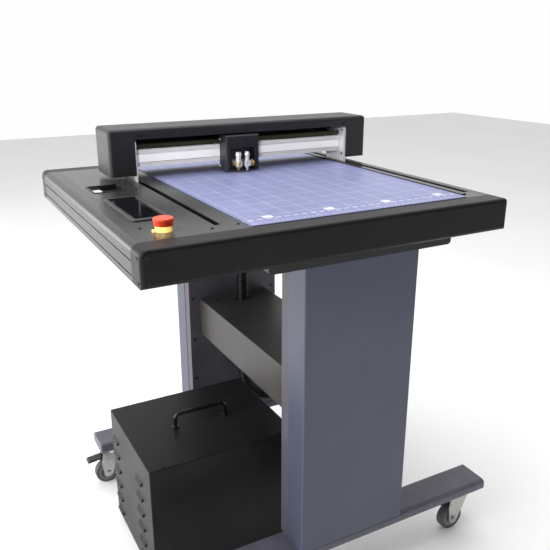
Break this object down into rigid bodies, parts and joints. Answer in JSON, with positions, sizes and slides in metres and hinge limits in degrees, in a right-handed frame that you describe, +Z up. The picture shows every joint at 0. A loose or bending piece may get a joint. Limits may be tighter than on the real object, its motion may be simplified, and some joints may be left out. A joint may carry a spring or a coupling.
{
  "type": "flatbed vinyl cutter",
  "caption": "Flatbed cutter: a mat bed with a sliding gantry and tool carriage, on a two-column stand with castors, with a separate suction unit.",
  "frame": {"origin": "centre of the whole machine's floor area, on the floor under the castors", "axes": "+Z up, +Y away from the operator, +X to the operator's right"},
  "size_m": [0.9662, 0.8908, 1.116],
  "materials": {
    "powder_coat_black": "fine textured satin",
    "deck_black": "smooth satin",
    "moulded_black": "fine grain",
    "mat_violet": "satin with a pale printed grid",
    "anodised_silver": "brushed, anodised",
    "steel_ground": "ground",
    "steel_zinc": "zinc plated",
    "screw_black": "black oxide",
    "belt_rubber": "ribbed",
    "hose_rubber": "corrugated",
    "wheel_rubber": "smooth tread",
    "foot_rubber": "moulded",
    "stand_grey": "fine textured powder coat",
    "stand_light": "fine textured powder coat",
    "estop_red": "semi-gloss",
    "estop_yellow": "semi-gloss",
    "screen_glass": "gloss",
    "tray_white": "satin",
    "brass": "turned",
    "board_green": "solder mask",
    "cast_grey": "cast",
    "pedal_black": "moulded",
    "handle_black": "gloss"
  },
  "bodies": {
    "frame": {"left_rail": "powder_coat_black", "right_rail": "powder_coat_black", "front_end_cap": "powder_coat_black", "back_end_cap": "powder_coat_black", "deck_plate": "deck_black", "vacuum_platen": "cast_grey", "cutting_mat": "mat_violet", "bottom_pan": "powder_coat_black", "control_bezel": "moulded_black", "touch_screen": "screen_glass", "tool_tray": "tray_white", "estop_collar": "estop_yellow", "power_inlet": "moulded_black", "y_guide_rails": "steel_ground", "y_belts": "belt_rubber", "y_motor": "cast_grey", "control_board": "board_green", "machine_screws": "screw_black", "column_covers": "stand_grey", "column_channels": "stand_light", "table_brackets": "powder_coat_black", "shelf": "stand_light", "feet": "stand_grey", "pump_housing": "powder_coat_black", "pump_feet": "foot_rubber", "pump_handle": "handle_black", "pump_blower": "cast_grey", "hose_fittings": "moulded_black", "vacuum_hose": "hose_rubber"},
    "gantry": {"gantry_cover": "moulded_black", "gantry_beam": "anodised_silver", "side_plates": "anodised_silver", "bearing_blocks": "steel_ground", "carriage_rail": "steel_ground", "x_motor": "cast_grey", "x_belt": "belt_rubber", "gantry_screws": "screw_black"},
    "carriage": {"carriage_block": "anodised_silver", "carriage_cover": "moulded_black"},
    "knife": {"knife_holder": "anodised_silver"},
    "crease": {"crease_holder": "anodised_silver"},
    "clamp_screw": {"clamp_screw": "brass"},
    "x_drive": {"x_drive_pulley": "anodised_silver"},
    "x_idler": {"x_idler_pulley": "anodised_silver"},
    "y_drive": {"y_drive_shaft": "steel_ground"},
    "y_idler": {"y_idler_shaft": "steel_ground"},
    "estop_plunger": {"estop_stem": "steel_zinc"},
    "estop_head": {"estop_head": "estop_red"},
    "rocker": {"power_switch": "moulded_black"},
    "impeller": {"pump_impeller": "cast_grey"},
    "castor_fork_front_left": {"castor_fork_front_left": "steel_zinc"},
    "castor_wheel_front_left": {"castor_wheel_front_left": "wheel_rubber"},
    "castor_brake_front_left": {"castor_brake_front_left": "pedal_black"},
    "castor_fork_front_right": {"castor_fork_front_right": "steel_zinc"},
    "castor_wheel_front_right": {"castor_wheel_front_right": "wheel_rubber"},
    "castor_fork_back_left": {"castor_fork_back_left": "steel_zinc"},
    "castor_wheel_back_left": {"castor_wheel_back_left": "wheel_rubber"},
    "castor_brake_back_left": {"castor_brake_back_left": "pedal_black"},
    "castor_fork_back_right": {"castor_fork_back_right": "steel_zinc"},
    "castor_wheel_back_right": {"castor_wheel_back_right": "wheel_rubber"}
  },
  "joints": [
    {"name": "gantry_slide", "type": "slide", "parent": "frame", "child": "gantry", "axis": [0, 1, 0], "range_m": [-0.505, 0.11]},
    {"name": "carriage_slide", "type": "slide", "parent": "gantry", "child": "carriage", "axis": [1, 0, 0], "range_m": [-0.236, 0.285]},
    {"name": "knife_lift", "type": "slide", "parent": "carriage", "child": "knife", "axis": [0, 0, 1], "range_m": [-0.0035, 0.003]},
    {"name": "crease_lift", "type": "slide", "parent": "carriage", "child": "crease", "axis": [0, 0, 1], "range_m": [-0.0035, 0.003]},
    {"name": "clamp_screw_turn", "type": "hinge", "parent": "crease", "child": "clamp_screw", "pos_m": [0.025, 0.1385, 1.011], "axis": [1, 0, 0], "range_deg": [0, 360]},
    {"name": "x_drive_spin", "type": "hinge", "parent": "gantry", "child": "x_drive", "pos_m": [-0.325, 0.212, 1.066], "axis": [0, 0, 1], "range_deg": [-1506, 1818]},
    {"name": "x_idler_spin", "type": "hinge", "parent": "gantry", "child": "x_idler", "pos_m": [0.385, 0.212, 1.066], "axis": [0, 0, 1], "range_deg": [-1506, 1818]},
    {"name": "y_drive_spin", "type": "hinge", "parent": "frame", "child": "y_drive", "pos_m": [0, 0.416, 0.955], "axis": [1, 0, 0], "range_deg": [-704, 3218]},
    {"name": "y_idler_spin", "type": "hinge", "parent": "frame", "child": "y_idler", "pos_m": [0, -0.408, 0.955], "axis": [1, 0, 0], "range_deg": [-704, 3218]},
    {"name": "estop_press", "type": "slide", "parent": "frame", "child": "estop_plunger", "axis": [0, 0, 1], "range_m": [-0.004, 0], "stiffness_N_per_m": 900, "springref_m": 0.001},
    {"name": "estop_twist", "type": "hinge", "parent": "estop_plunger", "child": "estop_head", "pos_m": [-0.3995, -0.3355, 1], "axis": [0, 0, 1], "range_deg": [0, 45], "stiffness_Nm_per_rad": 0.05},
    {"name": "power_rocker", "type": "hinge", "parent": "frame", "child": "rocker", "pos_m": [-0.405, 0.438, 0.948], "axis": [1, 0, 0], "range_deg": [0, 14]},
    {"name": "impeller_spin", "type": "hinge", "parent": "frame", "child": "impeller", "pos_m": [-0.214, -0.002, 0.15], "axis": [0, 0, 1], "continuous": true},
    {"name": "castor_swivel_front_left", "type": "hinge", "parent": "frame", "child": "castor_fork_front_left", "pos_m": [-0.3725, -0.342, 0.115], "axis": [0, 0, 1], "continuous": true},
    {"name": "castor_roll_front_left", "type": "hinge", "parent": "castor_fork_front_left", "child": "castor_wheel_front_left", "pos_m": [-0.4005, -0.342, 0.0375], "axis": [0, 1, 0], "continuous": true},
    {"name": "castor_brake_front_left", "type": "hinge", "parent": "castor_fork_front_left", "child": "castor_brake_front_left", "pos_m": [-0.4085, -0.342, 0.09], "axis": [0, 1, 0], "range_deg": [-10, 0]},
    {"name": "castor_swivel_front_right", "type": "hinge", "parent": "frame", "child": "castor_fork_front_right", "pos_m": [0.4325, -0.342, 0.115], "axis": [0, 0, 1], "continuous": true},
    {"name": "castor_roll_front_right", "type": "hinge", "parent": "castor_fork_front_right", "child": "castor_wheel_front_right", "pos_m": [0.4045, -0.342, 0.0375], "axis": [0, 1, 0], "continuous": true},
    {"name": "castor_swivel_back_left", "type": "hinge", "parent": "frame", "child": "castor_fork_back_left", "pos_m": [-0.3725, 0.342, 0.115], "axis": [0, 0, 1], "continuous": true},
    {"name": "castor_roll_back_left", "type": "hinge", "parent": "castor_fork_back_left", "child": "castor_wheel_back_left", "pos_m": [-0.4005, 0.342, 0.0375], "axis": [0, 1, 0], "continuous": true},
    {"name": "castor_brake_back_left", "type": "hinge", "parent": "castor_fork_back_left", "child": "castor_brake_back_left", "pos_m": [-0.4085, 0.342, 0.09], "axis": [0, 1, 0], "range_deg": [-10, 0]},
    {"name": "castor_swivel_back_right", "type": "hinge", "parent": "frame", "child": "castor_fork_back_right", "pos_m": [0.4325, 0.342, 0.115], "axis": [0, 0, 1], "continuous": true},
    {"name": "castor_roll_back_right", "type": "hinge", "parent": "castor_fork_back_right", "child": "castor_wheel_back_right", "pos_m": [0.4045, 0.342, 0.0375], "axis": [0, 1, 0], "continuous": true}
  ],
  "couplings": [
    {"joint": "x_drive_spin", "follows": "carriage_slide", "rad_per_m": 111.11},
    {"joint": "x_idler_spin", "follows": "carriage_slide", "rad_per_m": 111.11},
    {"joint": "y_drive_spin", "follows": "gantry_slide", "rad_per_m": -111.11},
    {"joint": "y_idler_spin", "follows": "gantry_slide", "rad_per_m": -111.11}
  ]
}
